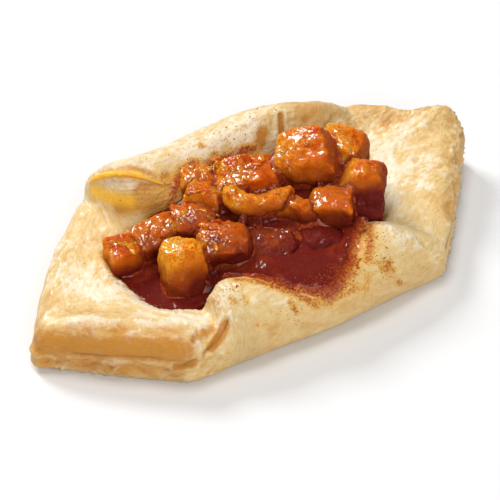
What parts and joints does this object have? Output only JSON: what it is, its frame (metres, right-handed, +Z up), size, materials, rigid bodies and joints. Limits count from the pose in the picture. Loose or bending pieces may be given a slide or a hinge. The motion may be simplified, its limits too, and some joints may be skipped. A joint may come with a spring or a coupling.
{
  "type": "fruit danish",
  "caption": "Folded square of flaky laminated pastry, opposite corners turned in over an open well of glossy spiced syrup and cooked fruit chunks.",
  "frame": {"origin": "on the table, under the middle of the pastry", "axes": "+X from the left tip to the right tip along the pastry's length, +Y from the near fold to the far fold, +Z up"},
  "size_m": [0.133, 0.0705, 0.0312],
  "materials": {
    "crust": "flaky, thinly glazed",
    "fruit": "wet, translucent",
    "syrup": "wet gloss"
  },
  "bodies": {
    "root": {"pastry": "crust", "fruit_chunk_01": "fruit", "fruit_chunk_02": "fruit", "fruit_chunk_03": "fruit", "fruit_chunk_04": "fruit", "fruit_chunk_05": "fruit", "fruit_chunk_06": "fruit", "fruit_chunk_07": "fruit", "fruit_chunk_08": "fruit", "fruit_chunk_09": "fruit", "fruit_chunk_10": "fruit", "fruit_chunk_11": "fruit", "fruit_chunk_12": "fruit", "fruit_chunk_13": "fruit", "fruit_chunk_14": "fruit", "fruit_chunk_15": "fruit", "fruit_chunk_16": "fruit", "fruit_chunk_17": "fruit", "syrup": "syrup"}
  },
  "joints": []
}
